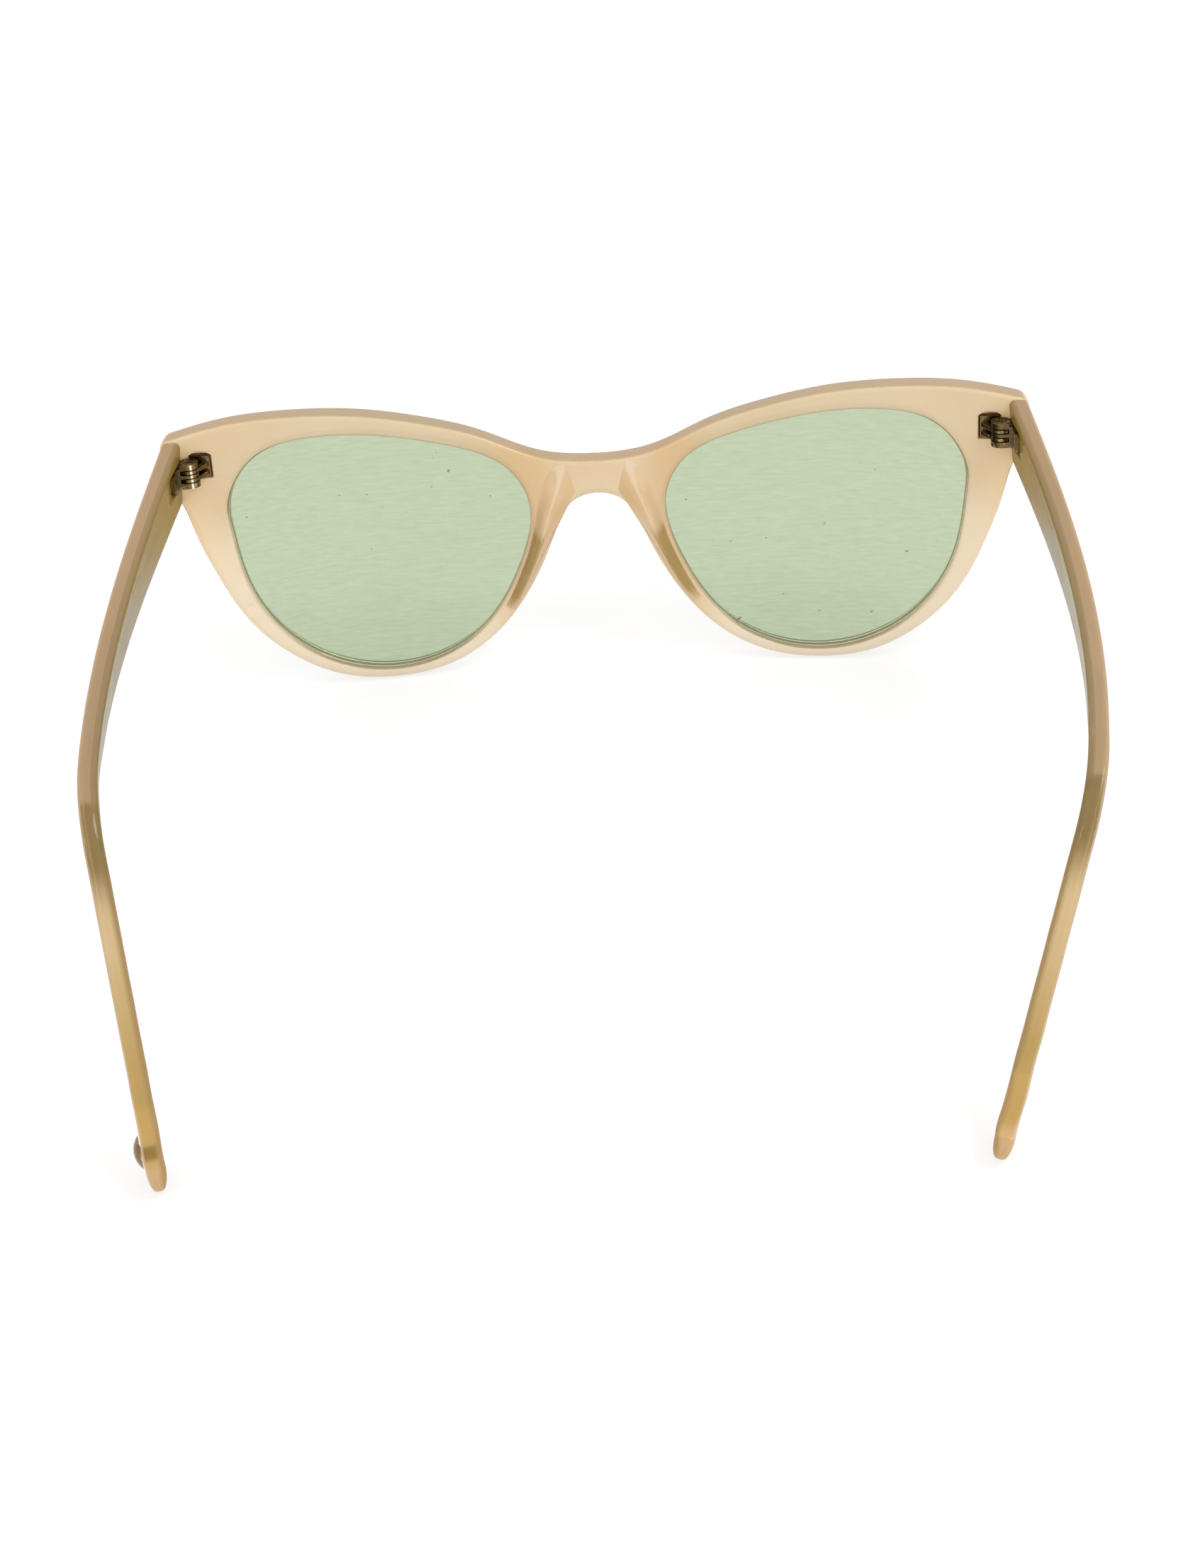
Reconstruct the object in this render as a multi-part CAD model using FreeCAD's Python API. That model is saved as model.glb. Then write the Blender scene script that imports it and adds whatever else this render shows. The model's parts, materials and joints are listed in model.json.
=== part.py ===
import FreeCAD, Part
import math
import os

# Acetate cat eye sunglasses, open and standing on a flat surface on the two rims and the
# two temple tips. Millimetres, +Z up. The front faces -Y, the temples run towards +Y, and
# +X is the wearer's left. The front is first built upright in its own frame, whose origin
# is on the back face at the middle of the bridge, and then leans forward about X.

Vector = FreeCAD.Vector

# Where the bridge datum lies in the finished part: the origin is the bottom centre of the box.
DATUM = Vector(0.32, -59.57, 23.6)

# Front
WRAP_RADIUS = 400.0          # face form curve, back face, vertical axis
FRONT_THICKNESS = 4.0
TILT = 8.0                   # degrees the front leans back at its lower edge
OUTER_FILLET = 0.9
OPENING_FILLET = 0.5
BROW = [(0.0, 12.3), (9.0, 13.4), (18.0, 17.35), (27.0, 20.25), (36.0, 22.2), (49.2, 23.25), (58.0, 22.9)]
CORNER_CENTRE = (65.9, 19.3)
CORNER_RADIUS = 2.1
CORNER_TOP_ANGLE = 77.0      # where the brow line runs into the corner, degrees from +X
CORNER_SIDE_ANGLE = -8.0     # where the end piece leaves the corner
CORNER_LEAD = 1.0            # straight run beside the corner, which keeps the curves tangent to it
RIM = [(67.2, 13.9), (65.6, 9.9), (63.9, 3.7), (62.3, -1.0), (57.05, -11.95), (50.55, -18.6), (43.8, -22.3),
       (35.0, -23.6), (26.25, -22.2), (18.45, -17.65), (12.5, -10.7), (7.45, -0.85), (3.55, 5.45),
       (0.0, 6.45)]

# Lenses: the opening in the rim, as seen from behind on the wearer's left
OPENING = [(58.7, 6.15), (57.3, 12.7), (52.8, 17.45), (46.5, 19.1), (35.5, 18.8), (25.7, 16.8), (20.2, 15.15),
           (14.6, 12.1), (11.2, 6.5), (11.3, -0.05), (13.35, -5.95), (19.7, -15.8), (29.75, -21.3),
           (41.05, -21.05), (50.8, -15.4), (56.75, -5.75)]
OPENING_CENTRE = (35.2, -1.0)
OPENING_REACH = 26.0         # half the opening's width and a little more
OPENING_LEAST_X = 9.0        # nothing of the opening is nearer to the middle than this
OPENING_LEAST_HEIGHT = 30.0
OPENING_POINTS = 40          # points taken round the opening for a line beside it
LENS_RADIUS = 130.0          # base curve of the lens, middle of its thickness
LENS_THICKNESS = 2.0
LENS_VERTEX = 3.6            # lens centre, from the back face towards the front
TONGUE_THICKNESS = 1.0
TONGUE_DEPTH = 0.6           # how far the lens edge enters the groove
SEAT_CLEARANCE = 0.03
EDGE_CLEARANCE = 0.05

# Nose pads: sections from the bridge down to the rim. Each is the foot on the notch edge,
# the foot towards the lens, the ridge's share of the way between them, and its height.
PAD_SECTIONS = [((3.4, 7.1), (5.0, 12.0), 0.55, 0.15), ((5.2, 3.9), (8.2, 9.4), 0.42, 1.6),
                ((7.5, -0.4), (10.0, 3.0), 0.48, 2.7), ((9.4, -3.9), (11.2, -1.8), 0.50, 3.2),
                ((11.3, -7.5), (12.9, -6.1), 0.50, 2.9), ((13.1, -10.7), (14.6, -9.7), 0.50, 1.7),
                ((14.6, -12.9), (16.0, -12.0), 0.50, 0.15)]
# Round of a pad in section: the way from the notch (0) over the ridge (1) to the lens side (2),
# and the share of the ridge's height there.
PAD_PROFILE = [(0.42, 0.55), (0.82, 0.95), (1.0, 1.0), (1.25, 0.90), (1.6, 0.45)]
PAD_SINK = 1.2               # how far a pad's blank reaches into the front before it is trimmed

# Hinges, upright front frame, wearer's left
AXIS_X = 63.55
AXIS_Y = 6.6
KNUCKLE_RADIUS = 1.65
KNUCKLE_GAP = 0.05
KNUCKLE_HEIGHTS = [0.95, 0.62, 0.62, 0.62, 0.9]      # bottom to top
KNUCKLE_ROOM = 0.1                                   # round the front's knuckles
BARREL_BOTTOM = 14.0
BORE_RADIUS = 0.72
SCREW_RADIUS = 0.68
HEAD_RADIUS = 1.22
HEAD_HEIGHT = 0.42
HEAD_SEAT = 0.5
CROSS_WIDTH = 0.36
CROSS_LENGTH = 1.7
CROSS_DEPTH = 0.28
SCREW_END = 0.1              # from the lowest knuckle's underside up to the screw's end
OVERLAP = 0.1                # how far bodies of one piece run into each other
BARREL_CLEARANCE = 0.25
FRONT_PLATE = (60.3, 63.7, 14.55, 18.15)             # x and z limits
FRONT_PLATE_FACE = 4.45                              # y of its visible face
FRONT_PLATE_THICKNESS = 1.0
FRONT_PLATE_CHAMFER = 0.18
ARM_ROOT = (0.2, 0.9)                                # on the plate, from its edge nearest the lens
ARM_SINK = 0.2
PEG_RADIUS = 0.7
PEG_LENGTH = 1.1
PEG_SHARES = (0.25, 0.75)                            # of the plate's height
POCKET_MARGIN = 0.2
POCKET_ARCH = 0.75
POCKET_REACH = 8.0                                   # from the pocket's floor to clear of the back face
LEAF_X = (64.8, 66.1)                                # temple leaf: proud face, sunk face
LEAF_STEP_X = 64.45
LEAF_LENGTH = 5.3                                    # behind the pin
LEAF_STEP_LENGTH = 2.5
LEAF_ROUND = 1.0
LEAF_STEP_ROUND = 0.6
LEAF_Z = (14.2, 17.7)
LEAF_FRONT = 0.9                                     # in front of the pin
SLOT_LENGTH = 9.2
SLOT_MARGIN = 0.15                                   # above and below the barrel
SLOT_REACH = 5.0                                     # from the pin to clear of the inner face
SLOT_FRONT = 8.0                                     # from the pin to clear of the temple's end
SLOT_DEPTH_X = 65.7

# Temples, finished attitude, measured from the bridge datum, wearer's left
TEMPLE_THICKNESS = (2.8, 2.65)   # at the hinge, and from the bend on
TEMPLE_TOP = 21.53
TEMPLE_INNER_ROUND = 0.95
TEMPLE_OUTER_ROUND = 0.6
TEMPLE_START = -3.0
TEMPLE_GAP = 0.05            # temple end to front
TEMPLE_END_ROUND = 0.35
HINGE_HEIGHT = 10.7          # height of the bar at the hinge, at the bend and along the ear
BEND_HEIGHT = 5.6
EAR_HEIGHT = 7.2
EASE = 0.4                   # how much of the taper eases in and out
STATION_STEP = 6.0
BEND_LENGTH = 14.0           # length of the curve between the straight bar and the ear piece
EAR_STEP = 4.0
EAR_PARTS = 8                # the ear's course is added up in this many parts of a step
EAR_GROWTH_LENGTH = 26.0     # the ear piece reaches its full height this far after the bend
TIP_ROUND = 3.4
TIP_SHARES = (0.0, 0.35, 0.62, 0.82, 0.94, 0.985)
TIP_THINNING = 0.85          # share of the thickness that runs out towards the very tip
# For each side: middle of the bar at the hinge, its bow outwards, where it is widest, where the
# bend starts, how far its top leans outwards at the hinge, at the bend and along the ear piece,
# the ear piece's direction in plan (towards the middle) and downwards, and its length. Degrees.
LEFT_BAR = {"hinge": 65.8, "bow": 1.43, "widest": 47.5, "bend": 86.1, "leans": (-4.0, -9.1, -1.2),
            "toe_in": 15.6, "slope": 53.9, "ear": 54.35}
RIGHT_BAR = {"hinge": 65.95, "bow": 2.37, "widest": 51.6, "bend": 89.9, "leans": (-3.2, -3.3, 9.1),
             "toe_in": 16.7, "slope": 55.5, "ear": 53.78}

# Core wires and stud
WIRE_RADIUS = 0.6
WIRE_START = 18.0
WIRE_TIP_GAP = 7.5           # wire's end to the centre of the round tip
STUD_TIP_GAP = 2.1           # stud's axis to the centre of the round tip
STUD_RADIUS = 2.3
STUD_RISE = 0.95
STUD_SEAT = 0.1              # from the bar's flat to the underside of the dome
STUD_SHANK_RADIUS = 0.75
STUD_SHANK_LENGTH = 2.1


def curve(points, closed=False):
    """Smooth curve in the XZ plane through (x, z) points."""
    spline = Part.BSplineCurve()
    places = [Vector(x, 0, z) for x, z in points]
    spline.interpolate(Points=places, PeriodicFlag=closed)
    return spline


def through(outline, start=-15.0, end=25.0):
    """A solid bar along Y with this XZ outline."""
    face = Part.Face(outline)
    face.translate(Vector(0, start, 0))
    return face.extrude(Vector(0, end - start, 0))


def mirrored(shape):
    return shape.mirror(Vector(0, 0, 0), Vector(1, 0, 0))


def lean(shape):
    """From the upright front frame to the finished attitude."""
    turned = shape.copy()
    turned.rotate(Vector(0, 0, 0), Vector(1, 0, 0), TILT)
    return turned


def on_circle(centre, radius, degrees):
    angle = math.radians(degrees)
    return (centre[0] + radius * math.cos(angle), centre[1] + radius * math.sin(angle))


def box(x_limits, y_limits, z_limits):
    size = [high - low for low, high in (x_limits, y_limits, z_limits)]
    return Part.makeBox(size[0], size[1], size[2], Vector(x_limits[0], y_limits[0], z_limits[0]))


def front_outline():
    """Brow line, end piece corners, and the line round both rims and under the bridge."""
    top = on_circle(CORNER_CENTRE, CORNER_RADIUS, CORNER_TOP_ANGLE)
    side = on_circle(CORNER_CENTRE, CORNER_RADIUS, CORNER_SIDE_ANGLE)
    middle = on_circle(CORNER_CENTRE, CORNER_RADIUS, (CORNER_TOP_ANGLE + CORNER_SIDE_ANGLE) / 2)
    top_angle = math.radians(CORNER_TOP_ANGLE)
    side_angle = math.radians(CORNER_SIDE_ANGLE)
    before_top = (top[0] - CORNER_LEAD * math.sin(top_angle), top[1] + CORNER_LEAD * math.cos(top_angle))
    after_side = (side[0] + CORNER_LEAD * math.sin(side_angle), side[1] - CORNER_LEAD * math.cos(side_angle))
    brow_half = BROW + [before_top, top]
    rim_half = [side, after_side] + RIM
    brow = curve([(-x, z) for x, z in reversed(brow_half[1:])] + brow_half)
    rim = curve(rim_half + [(-x, z) for x, z in reversed(rim_half[:-1])])
    corners = []
    for sign in (1, -1):
        arc_points = [Vector(sign * x, 0, z) for x, z in (top, middle, side)]
        corners.append(Part.Arc(arc_points[0], arc_points[1], arc_points[2]).toShape())
    return Part.Wire([brow.toShape(), corners[0], rim.toShape(), corners[1]])


def opening_outline(offset=0.0):
    """The closed outline of the eye opening, grown by offset all round."""
    base = curve(OPENING, closed=True)
    if offset == 0.0:
        return Part.Wire([base.toShape()])
    low, high = base.FirstParameter, base.LastParameter
    grown = []
    for step in range(OPENING_POINTS):
        at = low + (high - low) * step / OPENING_POINTS
        place = base.value(at)
        along = base.tangent(at)[0]
        normal = Vector(along.z, 0, -along.x)
        outward = place - Vector(OPENING_CENTRE[0], 0, OPENING_CENTRE[1])
        if normal.dot(outward) < 0:
            normal = normal * -1
        moved = place + normal * offset
        grown.append((moved.x, moved.z))
    return Part.Wire([curve(grown, closed=True).toShape()])


def lens_shell(thickness):
    """Part of a sphere's shell, centred on the eye opening and square to the front there."""
    angle = OPENING_CENTRE[0] / WRAP_RADIUS
    reach = WRAP_RADIUS + LENS_VERTEX - LENS_RADIUS
    centre = Vector(math.sin(angle) * reach, WRAP_RADIUS - math.cos(angle) * reach, OPENING_CENTRE[1])
    outer = Part.makeSphere(LENS_RADIUS + thickness / 2, centre)
    inner = Part.makeSphere(LENS_RADIUS - thickness / 2, centre)
    return outer.cut(inner)


def lens():
    body = lens_shell(LENS_THICKNESS).common(through(opening_outline(-EDGE_CLEARANCE)))
    tongue = lens_shell(TONGUE_THICKNESS).common(through(opening_outline(TONGUE_DEPTH)))
    return body.fuse(tongue).removeSplitter()


def lens_groove():
    depth = TONGUE_DEPTH + SEAT_CLEARANCE
    thickness = TONGUE_THICKNESS + 2 * SEAT_CLEARANCE
    return lens_shell(thickness).common(through(opening_outline(depth)))


def wrap_cylinder(offset):
    """Everything behind the face form curve, moved forward by offset."""
    return Part.makeCylinder(WRAP_RADIUS + offset, 100.0, Vector(0, WRAP_RADIUS, -50.0))


def front_blank():
    sheet = wrap_cylinder(FRONT_THICKNESS).cut(wrap_cylinder(0.0))
    blank = sheet.common(through(front_outline()))
    rounded = [edge for edge in blank.Edges if edge.BoundBox.ZLength > 0.05]
    blank = blank.makeFillet(OUTER_FILLET, rounded)
    eye = through(opening_outline())
    pierced = blank.cut(eye).cut(mirrored(eye))
    ring = [edge for edge in pierced.Edges if is_opening_edge(edge)]
    return pierced.makeFillet(OPENING_FILLET, ring)


def is_opening_edge(edge):
    """True for the edges round the two eye openings."""
    limits = edge.BoundBox
    near, far = sorted((abs(limits.XMin), abs(limits.XMax)))
    inside = near > OPENING_LEAST_X and far < OPENING_CENTRE[0] + OPENING_REACH
    return inside and limits.ZLength > OPENING_LEAST_HEIGHT


def knuckle_levels():
    """Bottom and top of each knuckle, from the lowest up."""
    levels = []
    bottom = BARREL_BOTTOM
    for height in KNUCKLE_HEIGHTS:
        levels.append((bottom, bottom + height))
        bottom += height + KNUCKLE_GAP
    return levels


def slab(points, z_limits):
    """An upright prism on a polygon of (x, y) points."""
    corners = [Vector(x, y, z_limits[0]) for x, y in points]
    face = Part.Face(Part.makePolygon(corners + corners[:1]))
    return face.extrude(Vector(0, 0, z_limits[1] - z_limits[0]))


def pin_cylinder(radius, z_limits):
    return Part.makeCylinder(radius, z_limits[1] - z_limits[0], Vector(AXIS_X, AXIS_Y, z_limits[0]))


def front_pegs():
    """The two pegs that anchor the front plate, with an overlap into the plate."""
    x_low, x_high, z_low, z_high = FRONT_PLATE
    root = FRONT_PLATE_FACE - FRONT_PLATE_THICKNESS + OVERLAP
    pegs = []
    for share in PEG_SHARES:
        middle = Vector((x_low + x_high) / 2, root, z_low + share * (z_high - z_low))
        pegs.append(Part.makeCylinder(PEG_RADIUS, PEG_LENGTH + OVERLAP, middle, Vector(0, -1, 0)))
    return pegs[0].fuse(pegs[1])


def front_leaf():
    """Square plate with two pegs in the front, and a splayed arm to knuckles 2 and 4."""
    x_low, x_high, z_low, z_high = FRONT_PLATE
    y_limits = (FRONT_PLATE_FACE - FRONT_PLATE_THICKNESS, FRONT_PLATE_FACE)
    plate = box((x_low, x_high), y_limits, (z_low, z_high))
    rim_edges = [edge for edge in plate.Edges if edge.BoundBox.YMin > FRONT_PLATE_FACE - 0.01]
    leaf = plate.makeChamfer(FRONT_PLATE_CHAMFER, rim_edges).fuse(front_pegs())
    tangent = KNUCKLE_RADIUS * math.sqrt(0.5)
    root = FRONT_PLATE_FACE - ARM_SINK
    arm = [(x_low + ARM_ROOT[0], root), (AXIS_X - tangent, AXIS_Y + tangent), (AXIS_X, AXIS_Y),
           (x_low + ARM_ROOT[1], root)]
    for index in (1, 3):
        levels = knuckle_levels()[index]
        knuckle = pin_cylinder(KNUCKLE_RADIUS, levels).fuse(slab(arm, levels))
        leaf = leaf.fuse(knuckle.cut(pin_cylinder(BORE_RADIUS, levels)))
    return leaf.removeSplitter()


def front_pocket():
    """Routed recess for the front leaf: arched at the top, with room for the barrel."""
    x_low, x_high, z_low, z_high = FRONT_PLATE
    x_low -= POCKET_MARGIN
    x_high += POCKET_MARGIN
    z_low -= POCKET_MARGIN
    floor = FRONT_PLATE_FACE - FRONT_PLATE_THICKNESS
    arch = Part.Arc(Vector(x_high, floor, z_high), Vector((x_low + x_high) / 2, floor, z_high + POCKET_ARCH),
                    Vector(x_low, floor, z_high))
    sides = Part.makePolygon([Vector(x_low, floor, z_high), Vector(x_low, floor, z_low),
                              Vector(x_high, floor, z_low), Vector(x_high, floor, z_high)])
    recess = Part.Face(Part.Wire([arch.toShape()] + sides.Edges)).extrude(Vector(0, POCKET_REACH, 0))
    levels = knuckle_levels()
    room = (levels[0][0] - BARREL_CLEARANCE, levels[-1][1] + BARREL_CLEARANCE)
    return recess.fuse(front_pegs()).fuse(pin_cylinder(KNUCKLE_RADIUS + BARREL_CLEARANCE, room))


def rounded_end_bar(x_limits, end, z_limits, radius):
    """A bar along Y from in front of the pin to end, with its far corners rounded in side view."""
    bar = box(x_limits, (AXIS_Y - LEAF_FRONT, end), z_limits)
    far = [edge for edge in bar.Edges if edge.BoundBox.YMin > end - 0.01 and edge.BoundBox.XLength > 0.1]
    return bar.makeFillet(radius, far)


def temple_leaf():
    """Stepped plate let into the temple, with knuckles 1, 3 and 5."""
    leaf = rounded_end_bar(LEAF_X, AXIS_Y + LEAF_LENGTH, LEAF_Z, LEAF_ROUND)
    step = rounded_end_bar((LEAF_STEP_X, LEAF_X[1]), AXIS_Y + LEAF_STEP_LENGTH, LEAF_Z, LEAF_STEP_ROUND)
    leaf = leaf.fuse(step)
    levels = knuckle_levels()
    for index in (1, 3):
        gap = (levels[index][0] - KNUCKLE_GAP, levels[index][1] + KNUCKLE_GAP)
        leaf = leaf.cut(pin_cylinder(KNUCKLE_RADIUS + KNUCKLE_ROOM, gap))
    for index in (0, 2, 4):
        low, high = levels[index]
        arm = box((AXIS_X, LEAF_X[1]), (AXIS_Y - LEAF_FRONT, AXIS_Y + KNUCKLE_RADIUS), (low, high))
        leaf = leaf.fuse(pin_cylinder(KNUCKLE_RADIUS, (low, high)).fuse(arm))
    leaf = leaf.cut(pin_cylinder(BORE_RADIUS, (levels[1][0], levels[4][1])))
    leaf = leaf.cut(pin_cylinder(SCREW_RADIUS, (levels[0][0], levels[1][0])))
    leaf = leaf.cut(pin_cylinder(HEAD_RADIUS + 0.05, (levels[4][1] - HEAD_SEAT, levels[4][1])))
    return leaf.removeSplitter()


def temple_slot():
    """Routed slot for the temple leaf, with a round end behind it, and the leaf's own bed."""
    levels = knuckle_levels()
    z_limits = (levels[0][0] - SLOT_MARGIN, levels[-1][1] + SLOT_MARGIN)
    radius = (z_limits[1] - z_limits[0]) / 2
    end = AXIS_Y + SLOT_LENGTH - radius
    opening = AXIS_X - SLOT_REACH
    front = AXIS_Y - SLOT_FRONT
    slot = box((opening, SLOT_DEPTH_X), (front, end), z_limits)
    middle = Vector(opening, end, (z_limits[0] + z_limits[1]) / 2)
    slot = slot.fuse(Part.makeCylinder(radius, SLOT_DEPTH_X - opening, middle, Vector(1, 0, 0)))
    bed = rounded_end_bar(LEAF_X, AXIS_Y + LEAF_LENGTH, LEAF_Z, LEAF_ROUND)
    arms = box((AXIS_X, LEAF_X[1]), (front, AXIS_Y + KNUCKLE_RADIUS), z_limits)
    return slot.fuse(bed).fuse(arms)


def screw():
    """Hinge screw, head up, with a cross recess; it is threaded into the lowest knuckle."""
    levels = knuckle_levels()
    seat = levels[4][1] - HEAD_SEAT
    body = pin_cylinder(SCREW_RADIUS, (levels[0][0] + SCREW_END, seat + OVERLAP))
    head = pin_cylinder(HEAD_RADIUS, (seat, seat + HEAD_HEIGHT))
    for long_x, long_y in ((CROSS_LENGTH, CROSS_WIDTH), (CROSS_WIDTH, CROSS_LENGTH)):
        slot = box((AXIS_X - long_x / 2, AXIS_X + long_x / 2), (AXIS_Y - long_y / 2, AXIS_Y + long_y / 2),
                   (seat + HEAD_HEIGHT - CROSS_DEPTH, seat + HEAD_HEIGHT + OVERLAP))
        head = head.cut(slot)
    return body.fuse(head).removeSplitter()


def pad_section(notch_foot, lens_foot, share, height):
    """One closed section of a pad: sunk sides, and a rounded ridge behind the back face."""
    foot = Vector(notch_foot[0], notch_foot[0] ** 2 / (2 * WRAP_RADIUS), notch_foot[1])
    far = Vector(lens_foot[0], lens_foot[0] ** 2 / (2 * WRAP_RADIUS), lens_foot[1])
    sink = Vector(0, -PAD_SINK, 0)
    ridge = foot + (far - foot) * share
    places = [foot]
    for along, rise in PAD_PROFILE:
        if along <= 1.0:
            base = foot + (ridge - foot) * along
        else:
            base = ridge + (far - ridge) * (along - 1.0)
        places.append(base + Vector(0, height * rise, 0))
    places.append(far)
    crest = Part.BSplineCurve()
    crest.interpolate(Points=places)
    sides = Part.makePolygon([far, far + sink, foot + sink, foot])
    return Part.Wire([crest.toShape()] + sides.Edges)


def nose_pad(front):
    blank = Part.makeLoft([pad_section(*section) for section in PAD_SECTIONS], True, False)
    return blank.cut(front)


def bar_section(here, height, thickness):
    """Rounded rectangle across the bar at a station."""
    half_t = thickness / 2
    half_h = height / 2
    outer = min(TEMPLE_OUTER_ROUND, half_t * 0.45, half_h * 0.6)
    inner = min(TEMPLE_INNER_ROUND, half_t * 0.8, half_h * 0.6)
    ends = []
    for side, level, radius in ((1, 1, outer), (-1, 1, inner), (-1, -1, inner), (1, -1, outer)):
        middle = (side * (half_t - radius), level * (half_h - radius))
        diagonal = radius * math.sqrt(0.5)
        flat_end = (middle[0], level * half_h)
        side_end = (side * half_t, middle[1])
        bulge = (middle[0] + side * diagonal, middle[1] + level * diagonal)
        ordered = (side_end, bulge, flat_end) if side * level > 0 else (flat_end, bulge, side_end)
        ends.append([here["place"] + here["outward"] * a + here["upward"] * b for a, b in ordered])
    edges = []
    for index in range(4):
        start = ends[index]
        following = ends[(index + 1) % 4]
        edges.append(Part.Arc(start[0], start[1], start[2]).toShape())
        edges.append(Part.makeLine(start[2], following[0]))
    return Part.Wire(edges)


def bar_middle(bar, distance):
    """Half the width between the two bars' top edges, at a distance behind the datum."""
    share = distance / bar["widest"]
    return bar["hinge"] + bar["bow"] * (1.5 * share - 0.5 * share ** 3)


def bar_heading(bar, distance):
    """Direction of the bar in plan, in degrees towards the middle."""
    share = distance / bar["widest"]
    return -math.degrees(math.atan(bar["bow"] / bar["widest"] * 1.5 * (1 - share ** 2)))


def bar_height(bar, distance):
    share = max(distance, 0.0) / bar["bend"]
    eased = share ** 2 * (3 - 2 * share)
    return HINGE_HEIGHT - (HINGE_HEIGHT - BEND_HEIGHT) * ((1 - EASE) * share + EASE * eased)


def mix(first, last, share):
    return first + (last - first) * share


def station(heading, slope, lean_out, height, thickness):
    """The bar's forward, outward and upward directions for angles in degrees, and its size."""
    heading, slope, lean_out = [math.radians(angle) for angle in (heading, slope, lean_out)]
    level = Vector(-math.sin(heading), math.cos(heading), 0)
    side = Vector(math.cos(heading), math.sin(heading), 0)
    outward = side * math.cos(lean_out) - Vector(0, 0, math.sin(lean_out))
    standing = side * math.sin(lean_out) + Vector(0, 0, math.cos(lean_out))
    forward = level * math.cos(slope) - standing * math.sin(slope)
    upward = level * math.sin(slope) + standing * math.cos(slope)
    return {"forward": forward, "outward": outward, "upward": upward, "height": height,
            "thickness": thickness}


def straight_stations(bar):
    count = math.ceil((bar["bend"] - TEMPLE_START) / STATION_STEP)
    stations = []
    for number in range(count + 1):
        distance = TEMPLE_START + (bar["bend"] - TEMPLE_START) * number / count
        share = distance / bar["bend"]
        lean_out = mix(bar["leans"][0], bar["leans"][1], share)
        thickness = mix(TEMPLE_THICKNESS[0], TEMPLE_THICKNESS[1], share)
        here = station(bar_heading(bar, distance), 0.0, lean_out, bar_height(bar, distance), thickness)
        top = Vector(bar_middle(bar, distance), distance, TEMPLE_TOP)
        here["place"] = top - here["upward"] * (here["height"] / 2)
        stations.append(here)
    return stations


def ear_stations(bar, start):
    """Bend down and inward over BEND_LENGTH, then straight on to the centre of the round tip."""
    first_heading = bar_heading(bar, bar["bend"])
    count = round(bar["ear"] / EAR_STEP)
    part = bar["ear"] / (count * EAR_PARTS)
    place = start["place"]
    stations = []
    for number in range(1, count * EAR_PARTS + 1):
        turned = min(part * number / BEND_LENGTH, 1.0)
        grown = min(part * number / EAR_GROWTH_LENGTH, 1.0)
        here = station(mix(first_heading, bar["toe_in"], turned), bar["slope"] * turned,
                       mix(bar["leans"][1], bar["leans"][2], turned),
                       mix(BEND_HEIGHT, EAR_HEIGHT, grown ** 2 * (3 - 2 * grown)), TEMPLE_THICKNESS[1])
        place = place + here["forward"] * part
        if number % EAR_PARTS == 0:
            here["place"] = place
            stations.append(here)
    return stations


def temple_bar(stations):
    """The bar through its stations, closed by a round tip."""
    sections = [bar_section(here, here["height"], here["thickness"]) for here in stations]
    body = Part.makeLoft(sections, True, False)
    last = stations[-1]
    caps = []
    for share in TIP_SHARES:
        shrink = math.sqrt(1 - share ** 2)
        moved = dict(last, place=last["place"] + last["forward"] * (TIP_ROUND * share))
        thickness = last["thickness"] * (1 - TIP_THINNING + TIP_THINNING * shrink)
        caps.append(bar_section(moved, EAR_HEIGHT * shrink, thickness))
    return body.fuse(Part.makeLoft(caps, True, False))


def rounded_front_end(bar, trim):
    """The bar cut off beside the front, with the edge of its end rounded."""
    cut = bar.cut(trim)
    end = min(cut.Faces, key=lambda face: face.CenterOfMass.y)
    return cut.makeFillet(TEMPLE_END_ROUND, end.Edges)


def core_wire(stations):
    """Round wire in the middle of the bar, from behind the hinge to short of the tip."""
    last = stations[-1]["place"]
    reach = [here for here in stations
             if here["place"].y > WIRE_START and (here["place"] - last).Length > WIRE_TIP_GAP]
    circles = [Part.Circle(here["place"], here["forward"], WIRE_RADIUS) for here in reach]
    return Part.makeLoft([Part.Wire([circle.toShape()]) for circle in circles], True, False)


def tip_stud(last):
    """Domed stud on the outer face near the tip, and its shank in the bar on its own."""
    outward = last["outward"]
    face = last["place"] - last["forward"] * STUD_TIP_GAP + outward * (last["thickness"] / 2 + STUD_SEAT)
    sphere_radius = (STUD_RADIUS ** 2 + STUD_RISE ** 2) / (2 * STUD_RISE)
    ball = Part.makeSphere(sphere_radius, face + outward * (STUD_RISE - sphere_radius))
    dome = Part.makeCylinder(STUD_RADIUS, 2 * STUD_RISE, face, outward).common(ball)
    shank = Part.makeCylinder(STUD_SHANK_RADIUS, STUD_SHANK_LENGTH, face, outward * -1)
    root = Part.makeCylinder(STUD_SHANK_RADIUS, OVERLAP, face, outward)
    return dome.fuse(shank.fuse(root)).removeSplitter(), shank


def front_half_space():
    """Everything in front of the back face near the end pieces, for trimming the temples."""
    block = box((50.0, 80.0), (-30.0, 20.0), (-30.0, 40.0))
    return lean(block.cut(wrap_cylinder(-TEMPLE_GAP)))


def save(name, shape):
    placed = shape.copy()
    placed.translate(DATUM)
    solids = placed.Solids
    result = solids[0] if len(solids) == 1 else Part.makeCompound(solids)
    result.exportStep("parts/" + name + ".step")
    print("%-26s solids %d valid %s volume %9.2f" % (name, len(solids), placed.isValid(), placed.Volume))


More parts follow.
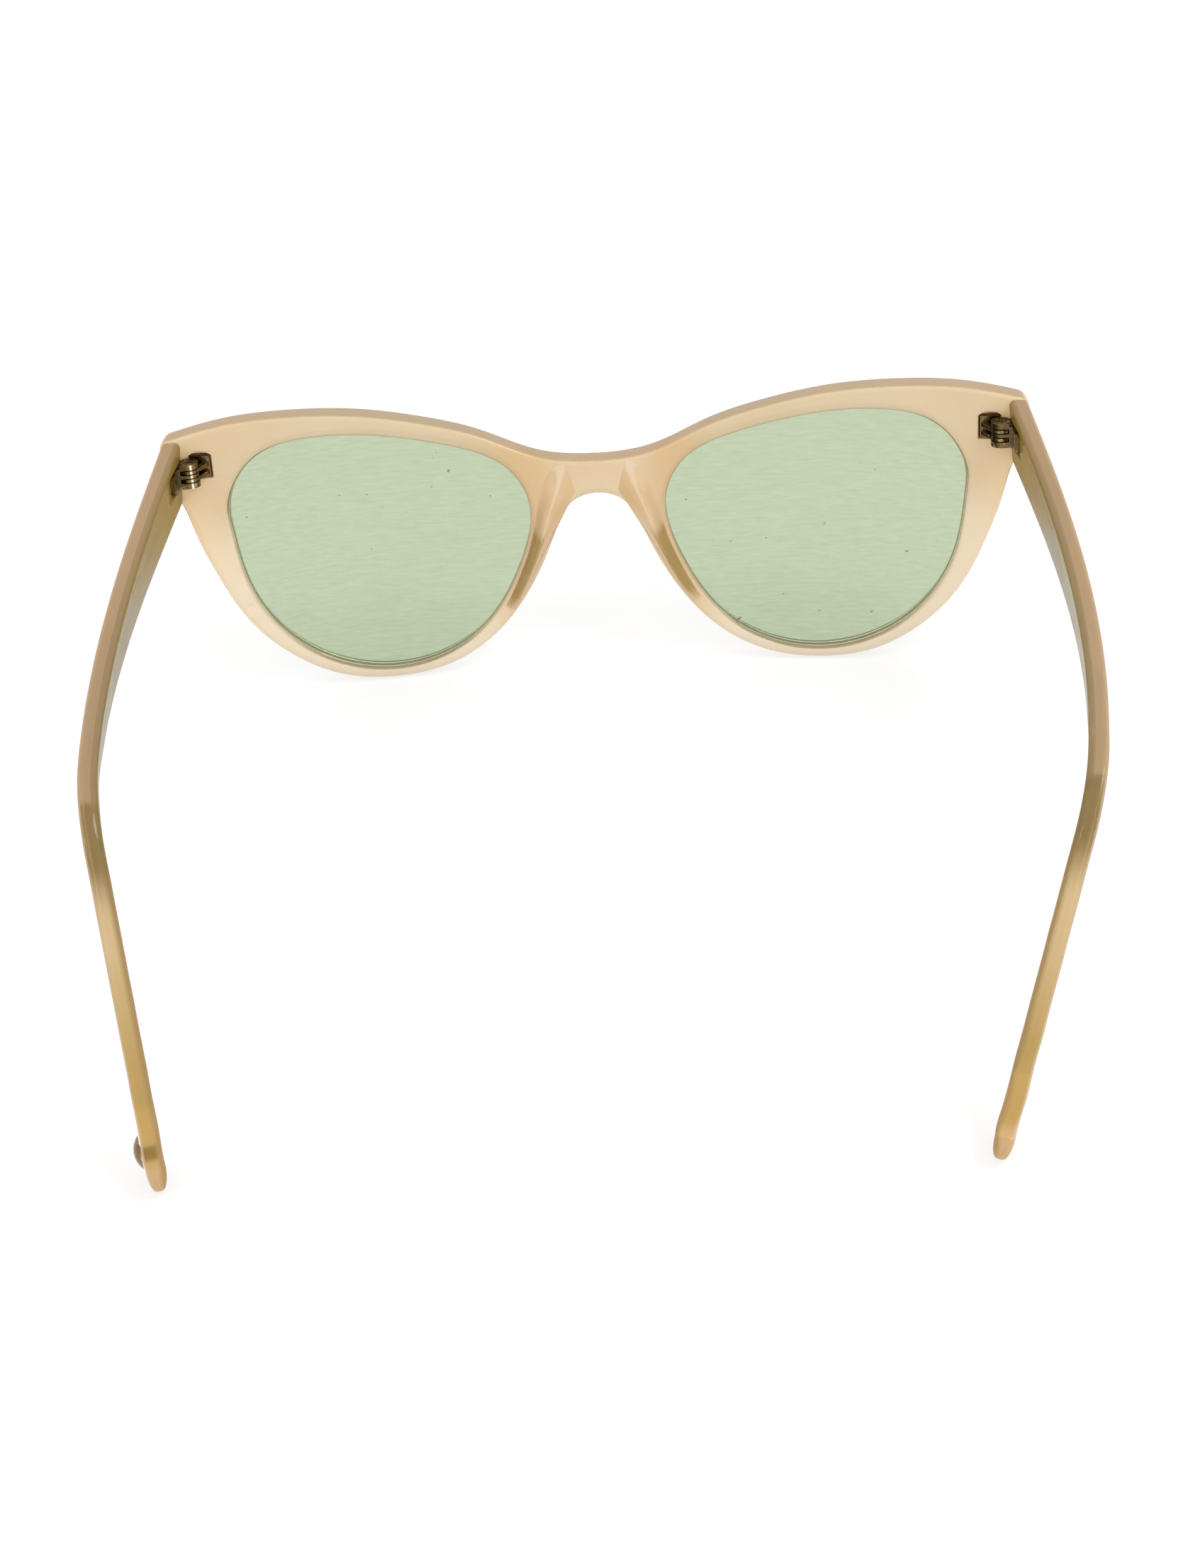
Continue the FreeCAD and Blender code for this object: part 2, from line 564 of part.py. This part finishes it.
def main():
    os.makedirs("parts", exist_ok=True)
    front = front_blank()
    groove = lens_groove()
    pocket = front_pocket()
    for tool in (groove, pocket):
        front = front.cut(tool).cut(mirrored(tool))
    pad = nose_pad(front)
    save("front_frame", lean(front))
    pieces = {"nose_pad": pad, "lens": lens(), "hinge_front_leaf": front_leaf(),
              "hinge_temple_leaf": temple_leaf(), "hinge_screw": screw()}
    for name, shape in pieces.items():
        save(name + "_left", lean(shape))
        save(name + "_right", lean(mirrored(shape)))
    trim = front_half_space()
    slot = lean(temple_slot())
    for side, bar in (("left", LEFT_BAR), ("right", RIGHT_BAR)):
        stations = straight_stations(bar)
        stations += ear_stations(bar, stations[-1])
        wire = core_wire(stations)
        temple = rounded_front_end(temple_bar(stations), trim).cut(slot).cut(wire)
        if side == "left":
            stud, shank = tip_stud(stations[-1])
            save("tip_stud", stud)
            save("temple_left", temple.cut(shank))
            save("core_wire_left", wire)
        else:
            save("temple_right", mirrored(temple))
            save("core_wire_right", mirrored(wire))


main()
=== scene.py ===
import json
import math

import bpy
from mathutils import Matrix, Vector


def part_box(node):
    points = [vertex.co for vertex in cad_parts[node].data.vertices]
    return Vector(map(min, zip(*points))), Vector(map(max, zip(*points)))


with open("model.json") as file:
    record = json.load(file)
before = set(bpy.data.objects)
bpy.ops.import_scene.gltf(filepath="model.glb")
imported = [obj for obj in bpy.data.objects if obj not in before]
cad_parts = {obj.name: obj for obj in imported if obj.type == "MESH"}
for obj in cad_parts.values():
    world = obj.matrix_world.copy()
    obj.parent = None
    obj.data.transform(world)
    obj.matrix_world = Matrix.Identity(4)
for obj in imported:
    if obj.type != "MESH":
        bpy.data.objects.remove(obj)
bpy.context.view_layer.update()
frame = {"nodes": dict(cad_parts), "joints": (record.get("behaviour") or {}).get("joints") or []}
nodes = frame["nodes"]

MM = 0.001

# The viewing angle: from behind and above the wearer's side, turned a little off the middle
VIEW_AZIMUTH = 182.94
VIEW_ELEVATION = 36.0
VIEW_ROLL = -4.34
VIEW_DISTANCE = 414.8 * MM
VIEW_TARGET = Vector((2.37 * MM, -23.04 * MM, 0.0))
LENS_LENGTH = 61.34
SENSOR_LONG_SIDE = 36.0

# Absorption per metre of the honey acetate and of the green lens, for red, green and blue
ACETATE_ABSORPTION = (22.0, 72.0, 150.0)
LENS_ABSORPTION = (277.0, 208.0, 379.0)
ACETATE_INDEX = 1.49
LENS_INDEX = 1.5
HAZE_SHARE = 0.35

# Middles of the gaps between the hinge knuckles, from the middle of the barrel, and the barrel's radius
KNUCKLE_LEVELS = (-0.98 * MM, -0.31 * MM, 0.36 * MM, 1.03 * MM)
BARREL_RADIUS = 1.7 * MM

# How far wear and a painted edge highlight reach from a metal edge, and painted shade from a metal corner
EDGE_WEAR_AND_HIGHLIGHT = 0.12 * MM
CORNER_SHADE_REACH = 0.35 * MM

# The wearer's left ear piece runs this way, and the wearer's right bend lies this much further back
EAR_DIRECTION = (-0.16, 0.57, -0.81)
RIGHT_BEND_SHIFT = 3.7 * MM

# The direction a plated surface faces where painted light falls on it: painted lighter towards it, darker away
# from it, with a painted highlight line facing straight along it
LIT_SIDE = (-0.42, 0.90, 0.10)


def linear(colour):
    """Scene-linear colour from display values of 0 to 255."""
    return tuple(((c / 255 + 0.055) / 1.055) ** 2.4 if c > 10 else c / 255 / 12.92 for c in colour)


def new_material(name):
    material = bpy.data.materials.new(name)
    material.use_nodes = True
    material.node_tree.nodes.clear()
    return material, material.node_tree


def node(tree, kind, inputs=None, **settings):
    """A shader node with its settings, and its inputs given as values or as sockets to link from."""
    made = tree.nodes.new(kind)
    for key, value in settings.items():
        setattr(made, key, value)
    for key, value in (inputs or {}).items():
        if isinstance(value, bpy.types.NodeSocket):
            tree.links.new(value, made.inputs[key])
        else:
            made.inputs[key].default_value = value
    return made


def put_material(name, material):
    thing = nodes[name]
    thing.data.materials.clear()
    thing.data.materials.append(material)


def maths(tree, operation, first, second=0.0):
    return node(tree, "ShaderNodeMath", {0: first, 1: second}, operation=operation).outputs[0]


def product(tree, first, second):
    return maths(tree, "MULTIPLY", first, second)


def vector_maths(tree, operation, first, second=(0.0, 0.0, 0.0)):
    """The vector result of an operation, or its value for a dot product or a length."""
    made = node(tree, "ShaderNodeVectorMath", {0: first, 1: second}, operation=operation)
    return made.outputs["Value" if operation in ("DOT_PRODUCT", "LENGTH") else "Vector"]


def step_up(tree, value, low, high):
    """0 below low, 1 above high, smooth between; low may also be the larger one."""
    ranged = node(tree, "ShaderNodeMapRange", {"Value": value, "From Min": low, "From Max": high},
                  interpolation_type="SMOOTHSTEP")
    return ranged.outputs["Result"]


def blend(tree, share, first, second):
    """Colour that goes from first to second; each is a display colour or a colour socket."""
    mix = node(tree, "ShaderNodeMix", {0: share}, data_type="RGBA")
    for key, value in ((6, first), (7, second)):
        if isinstance(value, bpy.types.NodeSocket):
            tree.links.new(value, mix.inputs[key])
        else:
            mix.inputs[key].default_value = (*linear(value), 1)
    return mix.outputs[2]


def cloudy(tree, clouds, first, second):
    """Colour that drifts between two tones with the clouds in the plastic."""
    return blend(tree, step_up(tree, clouds, 0.3, 0.7), first, second)


def noise(tree, vector, scale, detail=3.0, stretch=None):
    """Noise of 0 to 1, with features of about 1 / scale metres, drawn out along an axis by stretch."""
    if stretch:
        vector = node(tree, "ShaderNodeMapping", {"Vector": vector, "Scale": stretch}).outputs[0]
    made = node(tree, "ShaderNodeTexNoise", {"Vector": vector, "Scale": scale, "Detail": detail})
    return made.outputs["Fac"]


def absorption(tree, per_metre):
    density = max(per_metre) * 1.02
    colour = tuple(1 - value / density for value in per_metre)
    return node(tree, "ShaderNodeVolumeAbsorption", {"Color": (*colour, 1), "Density": density}).outputs[0]


def surface_marks(tree, place, scratch_stretch):
    """Bump, roughness and a share of grey scuffs for a polished plastic that has been worn."""
    waves = noise(tree, place, 160.0, 2.0)
    scratches = noise(tree, place, 900.0, 2.0, scratch_stretch)
    fine = step_up(tree, scratches, 0.60, 0.74)
    height = maths(tree, "ADD", waves, product(tree, fine, -0.12))
    bump = node(tree, "ShaderNodeBump", {"Strength": 0.06, "Distance": 0.4 * MM, "Height": height}).outputs[0]
    patches = noise(tree, place, 90.0, 4.0)
    scuff = product(tree, step_up(tree, patches, 0.56, 0.78), step_up(tree, scratches, 0.5, 0.72))
    roughness = maths(tree, "ADD", 0.10, product(tree, maths(tree, "ADD", patches, fine), 0.14))
    return bump, roughness, scuff


def acetate_shader(tree, colour, marks, milk, clarity, shine=0.5):
    """Milky polished acetate: a share, milk, of cloudy body over tinted glass of roughness clarity."""
    bump, roughness, scuff = marks
    scuffed_grey = (222, 214, 204)
    worn = blend(tree, product(tree, scuff, 0.35), colour, scuffed_grey)
    body = node(tree, "ShaderNodeBsdfPrincipled", {
        "Base Color": worn, "Roughness": roughness, "IOR": ACETATE_INDEX, "Specular IOR Level": shine,
        "Normal": bump})
    haze = node(tree, "ShaderNodeBsdfTranslucent", {"Color": worn, "Normal": bump})
    milky = node(tree, "ShaderNodeMixShader", {0: HAZE_SHARE, 1: body.outputs[0], 2: haze.outputs[0]})
    glass = node(tree, "ShaderNodeBsdfPrincipled", {
        "Base Color": (1, 1, 1, 1), "Roughness": clarity, "IOR": ACETATE_INDEX, "Transmission Weight": 1.0,
        "Normal": bump})
    mix = node(tree, "ShaderNodeMixShader", {0: milk, 1: glass.outputs[0], 2: milky.outputs[0]})
    node(tree, "ShaderNodeOutputMaterial",
         {"Surface": mix.outputs[0], "Volume": absorption(tree, ACETATE_ABSORPTION)})


def object_axes(tree):
    """Object-space place, and the place and the normal split into X, Y and Z."""
    coords = node(tree, "ShaderNodeTexCoord")
    place = coords.outputs["Object"]
    split_place = node(tree, "ShaderNodeSeparateXYZ", {0: place}).outputs
    split_normal = node(tree, "ShaderNodeSeparateXYZ", {0: coords.outputs["Normal"]}).outputs
    return place, split_place, split_normal


def front_material():
    """Honey acetate: paler low down and at the ends, amber by the bridge, with painted shade on upward faces
    and painted golden shade on the walls above the openings.
    """
    material, tree = new_material("honey_acetate_front")
    place, (x, _, z), (_, back, up) = object_axes(tree)
    pale, pale_ends, amber = (255, 246, 224), (255, 238, 196), (236, 202, 140)
    shaded_top_face, shaded_golden_wall = (196, 175, 142), (176, 148, 92)
    clouds = noise(tree, place, 45.0, 3.0)
    colour = cloudy(tree, clouds, (246, 232, 199), (242, 224, 186))
    colour = blend(tree, step_up(tree, z, 34 * MM, 24 * MM), colour, pale)
    from_middle = maths(tree, "ABSOLUTE", x)
    beside_bridge = product(tree, step_up(tree, from_middle, 5 * MM, 11 * MM),
                          step_up(tree, from_middle, 21 * MM, 13 * MM))
    colour = blend(tree, product(tree, beside_bridge, 0.6), colour, amber)
    ends = step_up(tree, from_middle, 58 * MM, 66 * MM)
    colour = blend(tree, product(tree, ends, 0.8), colour, pale_ends)
    # Painted shade: faces that look upward get a darker, greyer tone
    colour = blend(tree, step_up(tree, up, 0.6, 0.95), colour, shaded_top_face)
    # Painted shade: the downward walls above the openings, under the brow, get a darker golden tone
    wall = step_up(tree, maths(tree, "ABSOLUTE", back), 0.85, 0.6)
    under_brow = product(tree, step_up(tree, up, 0.10, -0.12), step_up(tree, z, 27 * MM, 34 * MM))
    under_brow = product(tree, under_brow, wall)
    colour = blend(tree, under_brow, colour, shaded_golden_wall)
    marks = surface_marks(tree, place, (0.15, 1.0, 1.0))
    acetate_shader(tree, colour, marks, 0.8, 0.25)
    return material


def pad_material():
    """Paler acetate with a painted cream highlight along the ridge; the lens side of the lower half gets
    painted olive shade.
    """
    material, tree = new_material("honey_acetate_pad")
    place, (x, _, z), (across, _, _) = object_axes(tree)
    # cream is the painted highlight along the ridge
    cream = (252, 240, 216)
    outward = product(tree, across, maths(tree, "SIGN", x))
    clouds = noise(tree, place, 160.0, 3.0)
    colour = cloudy(tree, clouds, (246, 224, 186), (240, 212, 166))
    # Painted shade: faces turned towards the lens in the lower half are painted olive
    olive = cloudy(tree, clouds, (204, 176, 114), (192, 163, 100))
    shaded_lens_side = product(tree, step_up(tree, outward, -0.80, -0.55),
                        step_up(tree, z, 25.5 * MM, 23.5 * MM))
    lower_end = step_up(tree, z, 10.5 * MM, 14.5 * MM)
    colour = blend(tree, product(tree, shaded_lens_side, lower_end), colour, olive)
    # Painted highlight: a cream line along the ridge, stronger higher up
    ridge = product(tree, step_up(tree, outward, -0.22, -0.05), step_up(tree, outward, 0.16, 0.02))
    ridge_highlight_strength = maths(tree, "ADD", 0.25, product(tree, step_up(tree, z, 20 * MM, 26 * MM), 0.5))
    colour = blend(tree, product(tree, ridge, ridge_highlight_strength), colour, cream)
    marks = surface_marks(tree, place, (1.0, 1.0, 0.2))
    acetate_shader(tree, colour, marks, 0.82, 0.2)
    return material


def stud_band(tree, place):
    """1 where the stud's shank shows through the wearer's left temple as a band across the bar."""
    low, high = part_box("tip_stud")
    middle = (low + high) / 2
    offset = vector_maths(tree, "SUBTRACT", place, middle)
    away = maths(tree, "ABSOLUTE", vector_maths(tree, "DOT_PRODUCT", offset, EAR_DIRECTION))
    near = step_up(tree, vector_maths(tree, "LENGTH", offset), 7 * MM, 5 * MM)
    return product(tree, near, step_up(tree, away, 1.3 * MM, 0.5 * MM))


def temple_material():
    """Honey on the straight part, with painted olive shade on its inner face, and golden from the bend to the
    tip; each face is painted lighter or darker by the way it looks.
    """
    material, tree = new_material("honey_acetate_temple")
    place, (x, y, z), (across, _, up) = object_axes(tree)
    # Painted light and shade by the way a face looks: a lighter outer top edge, a darker inner top edge and a
    # tone for the underside
    lit_top_outer_edge, shaded_top_inner_edge, underside = (212, 180, 138), (170, 144, 102), (216, 196, 156)
    lower_gold, tip_gold, stud_shadow = (210, 178, 106), (228, 198, 150), (160, 130, 66)
    lit_gold_outer_edge, shaded_gold_inner_edge, bend_shade = (236, 214, 178), (190, 160, 106), (172, 146, 88)
    outward = product(tree, across, maths(tree, "SIGN", x))
    clouds = noise(tree, place, 70.0, 3.0, (1.0, 0.35, 1.0))
    # Painted shade: the inner face is olive and the top darker than the outer face
    inner = cloudy(tree, clouds, (162, 138, 58), (148, 126, 46))
    top = cloudy(tree, clouds, (198, 168, 128), (188, 159, 119))
    top = blend(tree, step_up(tree, outward, 0.08, 0.4), top, lit_top_outer_edge)
    top = blend(tree, step_up(tree, outward, -0.08, -0.4), top, shaded_top_inner_edge)
    outer = cloudy(tree, clouds, (226, 200, 158), (214, 187, 142))
    sides = blend(tree, step_up(tree, outward, -0.1, -0.5), outer, inner)
    straight = blend(tree, step_up(tree, up, 0.3, 0.6), sides, top)
    straight = blend(tree, step_up(tree, up, -0.2, -0.6), straight, underside)
    golden = cloudy(tree, clouds, (246, 224, 178), (236, 210, 158))
    golden = blend(tree, step_up(tree, z, 32 * MM, 14 * MM), golden, lower_gold)
    golden = blend(tree, step_up(tree, z, 8 * MM, 4 * MM), golden, tip_gold)
    golden = blend(tree, stud_band(tree, place), golden, stud_shadow)
    # Painted light and shade: the golden part is lighter where it faces out and darker where it faces in
    golden = blend(tree, step_up(tree, outward, 0.1, 0.8), golden, lit_gold_outer_edge)
    golden = blend(tree, step_up(tree, outward, -0.1, -0.8), golden, shaded_gold_inner_edge)
    shaded = product(tree, step_up(tree, z, 32 * MM, 38 * MM), step_up(tree, outward, 0.6, 0.2))
    golden = blend(tree, shaded, golden, bend_shade)
    behind = maths(tree, "ADD", y, product(tree, step_up(tree, x, 1 * MM, -1 * MM), -RIGHT_BEND_SHIFT))
    ear = step_up(tree, behind, 34.6 * MM, 35.8 * MM)
    colour = blend(tree, ear, straight, golden)
    marks = surface_marks(tree, place, (1.0, 0.12, 1.0))
    below_bend = product(tree, ear, step_up(tree, z, 29 * MM, 39 * MM))
    milk = maths(tree, "SUBTRACT", 0.84, product(tree, below_bend, 0.22))
    acetate_shader(tree, colour, marks, milk, 0.16, 0.3)
    return material


def lens_material():
    """Green glass with a thin, finely drawn film and a few specks of dust."""
    material, tree = new_material("green_lens")
    place = object_axes(tree)[0]
    speck_colour = linear((120, 118, 84))
    mottle = noise(tree, place, 2200.0, 3.0, (0.15, 0.6, 1.0))
    waves = noise(tree, place, 40.0, 2.0)
    bump = node(tree, "ShaderNodeBump", {"Strength": 0.03, "Distance": 0.3 * MM, "Height": waves}).outputs[0]
    roughness = product(tree, mottle, 0.06)
    glass = node(tree, "ShaderNodeBsdfPrincipled", {
        "Base Color": (1, 1, 1, 1), "Roughness": roughness, "IOR": LENS_INDEX, "Transmission Weight": 1.0,
        "Normal": bump})
    film_colour = blend(tree, mottle, (168, 190, 148), (218, 224, 202))
    film = node(tree, "ShaderNodeBsdfTranslucent", {"Color": film_colour})
    specks = noise(tree, place, 1100.0, 1.0, (0.6, 1.0, 1.0))
    dust = product(tree, step_up(tree, specks, 0.79, 0.82), 0.6)
    share = maths(tree, "ADD", 0.04, product(tree, step_up(tree, mottle, 0.35, 0.7), 0.07))
    filmed = node(tree, "ShaderNodeMixShader", {0: share, 1: glass.outputs[0], 2: film.outputs[0]})
    speck = node(tree, "ShaderNodeBsdfDiffuse", {"Color": (*speck_colour, 1)})
    mix = node(tree, "ShaderNodeMixShader", {0: dust, 1: filmed.outputs[0], 2: speck.outputs[0]})
    node(tree, "ShaderNodeOutputMaterial",
         {"Surface": mix.outputs[0], "Volume": absorption(tree, LENS_ABSORPTION)})
    return material


def knuckle_gaps(tree, place, joint):
    """1 in the painted shade lines between the five knuckles of a hinge."""
    pin = Vector(joint["axis"]).normalized()
    upward = math.copysign(1.0, pin.z)
    offset = vector_maths(tree, "SUBTRACT", place, joint["pos_m"])
    along = vector_maths(tree, "DOT_PRODUCT", offset, pin)
    distance = vector_maths(tree, "LENGTH", vector_maths(tree, "CROSS_PRODUCT", offset, pin))
    lines = 0.0
    for level in KNUCKLE_LEVELS:
        away = maths(tree, "ABSOLUTE", maths(tree, "SUBTRACT", along, level * upward))
        lines = maths(tree, "MAXIMUM", lines, step_up(tree, away, 0.14 * MM, 0.06 * MM))
    return product(tree, lines, step_up(tree, distance, BARREL_RADIUS + 0.2 * MM, BARREL_RADIUS))


def metal_material(name, dark, light, worn, roughness, grain, joint=None):
    """Plated metal: cloudy colour painted lighter or darker by the way it faces, brushed grain, rubbed spots,
    edge wear with a painted edge highlight, a painted highlight line, painted shade in corners and, on a hinge,
    painted shade lines between the knuckles.
    """
    painted_highlight, corner_shade_colour, gap_shade = (246, 238, 218), (34, 27, 16), (24, 18, 10)
    material, tree = new_material(name)
    coords = node(tree, "ShaderNodeTexCoord").outputs
    place = coords["Object"]
    clouds = noise(tree, place, 700.0, 4.0)
    lines = noise(tree, place, 3000.0, 2.0, grain)
    # Painted light and shade: the colour goes from dark to light as the surface turns towards the lit side
    facing = vector_maths(tree, "DOT_PRODUCT", coords["Normal"], LIT_SIDE)
    shade = maths(tree, "ADD", step_up(tree, facing, 0.35, 0.95), product(tree, clouds, 0.4))
    colour = blend(tree, maths(tree, "SUBTRACT", shade, 0.2), dark, light)
    rubbed = step_up(tree, noise(tree, place, 1300.0, 3.0), 0.58, 0.68)
    colour = blend(tree, product(tree, rubbed, 0.6), colour, worn)
    # Painted highlight: a bright line where the surface faces straight towards the lit side
    colour = blend(tree, step_up(tree, facing, 0.986, 0.998), colour, painted_highlight)
    # Painted shade: corners and hollows found by ambient occlusion are darkened
    corners = node(tree, "ShaderNodeAmbientOcclusion", {"Distance": CORNER_SHADE_REACH})
    corners.samples = 8
    corner_shade = product(tree, step_up(tree, corners.outputs["AO"], 0.6, 0.2), 0.8)
    colour = blend(tree, corner_shade, colour, corner_shade_colour)
    # Edge wear and a painted highlight: edges found by the bevel get the worn, brighter colour
    rounded = node(tree, "ShaderNodeBevel", {"Radius": EDGE_WEAR_AND_HIGHLIGHT})
    rounded.samples = 6
    true_normal = node(tree, "ShaderNodeNewGeometry").outputs["Normal"]
    edges = step_up(tree, vector_maths(tree, "DOT_PRODUCT", rounded.outputs[0], true_normal), 0.985, 0.90)
    colour = blend(tree, product(tree, edges, 0.65), colour, worn)
    if joint:
        # Painted shade: dark lines drawn at the gaps between the hinge knuckles
        colour = blend(tree, knuckle_gaps(tree, place, joint), colour, gap_shade)
    height = maths(tree, "ADD", lines, product(tree, clouds, 0.5))
    bump = node(tree, "ShaderNodeBump", {"Strength": 0.15, "Distance": 0.05 * MM, "Height": height}).outputs[0]
    rough = maths(tree, "ADD", roughness, product(tree, maths(tree, "ADD", lines, corner_shade), 0.15))
    metal = node(tree, "ShaderNodeBsdfPrincipled", {
        "Base Color": colour, "Roughness": rough, "Metallic": 1.0, "Normal": bump})
    node(tree, "ShaderNodeOutputMaterial", {"Surface": metal.outputs[0]})
    return material


def add_floor():
    reach = 3.0
    corners = [(-reach, -reach, 0), (reach, -reach, 0), (reach, reach, 0), (-reach, reach, 0)]
    mesh = bpy.data.meshes.new("floor")
    mesh.from_pydata(corners, [], [(0, 1, 2, 3)])
    floor = bpy.data.objects.new("floor", mesh)
    bpy.context.scene.collection.objects.link(floor)
    material, tree = new_material("pale_floor")
    shade = node(tree, "ShaderNodeBsdfPrincipled", {
        "Base Color": (0.3, 0.3, 0.3, 1), "Roughness": 0.8, "Specular IOR Level": 0.1,
        "Emission Color": (1, 1, 1, 1), "Emission Strength": 0.68})
    node(tree, "ShaderNodeOutputMaterial", {"Surface": shade.outputs[0]})
    mesh.materials.append(material)


def add_light(name, place, target, size, power):
    data = bpy.data.lights.new(name, "AREA")
    data.shape = "DISK"
    data.size = size
    data.energy = power
    light = bpy.data.objects.new(name, data)
    light.location = place
    light.rotation_euler = (Vector(target) - Vector(place)).to_track_quat("-Z", "Y").to_euler()
    bpy.context.scene.collection.objects.link(light)


def add_lights():
    world = bpy.data.worlds.new("white_room")
    world.use_nodes = True
    tree = world.node_tree
    tree.nodes.clear()
    height = node(tree, "ShaderNodeSeparateXYZ", {0: node(tree, "ShaderNodeTexCoord").outputs["Generated"]})
    light = blend(tree, step_up(tree, height.outputs[2], 0.0, 0.8), (215, 215, 215), (250, 250, 250))
    background = node(tree, "ShaderNodeBackground", {"Color": light, "Strength": 1.24})
    node(tree, "ShaderNodeOutputWorld", {"Surface": background.outputs[0]})
    bpy.context.scene.world = world
    target = (0, 0, 0.02)
    add_light("key", (-0.35, 0.15, 0.6), target, 0.22, 1.2)
    add_light("fill", (0.5, 0.5, 0.6), target, 0.12, 0.4)


def add_camera():
    data = bpy.data.cameras.new("camera")
    data.sensor_width = SENSOR_LONG_SIDE
    data.lens = LENS_LENGTH
    data.clip_start = 10 * MM
    camera = bpy.data.objects.new("camera", data)
    azimuth = math.radians(VIEW_AZIMUTH)
    elevation = math.radians(VIEW_ELEVATION)
    away = Vector((math.sin(azimuth) * math.cos(elevation), -math.cos(azimuth) * math.cos(elevation),
                   math.sin(elevation)))
    turn = away.to_track_quat("Z", "Y").to_matrix().to_4x4() @ Matrix.Rotation(math.radians(VIEW_ROLL), 4, "Z")
    camera.matrix_world = Matrix.Translation(VIEW_TARGET + away * VIEW_DISTANCE) @ turn
    bpy.context.scene.collection.objects.link(camera)
    bpy.context.scene.camera = camera


add_camera()
add_floor()
add_lights()
bpy.context.scene.view_settings.view_transform = "Standard"

put_material("front_frame", front_material())
pads = pad_material()
temples = temple_material()
lenses = lens_material()
even, turned, drawn = (1.0, 1.0, 1.0), (1.0, 1.0, 0.2), (1.0, 0.1, 1.0)
screw_metal = metal_material("screw_plating", (110, 92, 58), (176, 156, 112), (222, 206, 170), 0.16, turned)
wire_metal = metal_material("drawn_wire", (58, 46, 22), (84, 68, 36), (104, 88, 52), 0.3, drawn)
stud_metal = metal_material("stud_plating", (128, 102, 68), (222, 194, 154), (240, 220, 186), 0.14, even)
for side in ("left", "right"):
    put_material("nose_pad_" + side, pads)
    put_material("temple_" + side, temples)
    put_material("lens_" + side, lenses)
    hinge = next(joint for joint in frame["joints"] if joint["name"] == side + "_temple_fold")
    hinge_metal = metal_material("bronze_plating_" + side, (52, 38, 18), (128, 106, 66), (190, 172, 136), 0.18,
                                 (1.0, 1.0, 0.1), hinge)
    put_material("hinge_front_leaf_" + side, hinge_metal)
    put_material("hinge_temple_leaf_" + side, hinge_metal)
    put_material("hinge_screw_" + side, screw_metal)
    put_material("core_wire_" + side, wire_metal)
put_material("tip_stud", stud_metal)
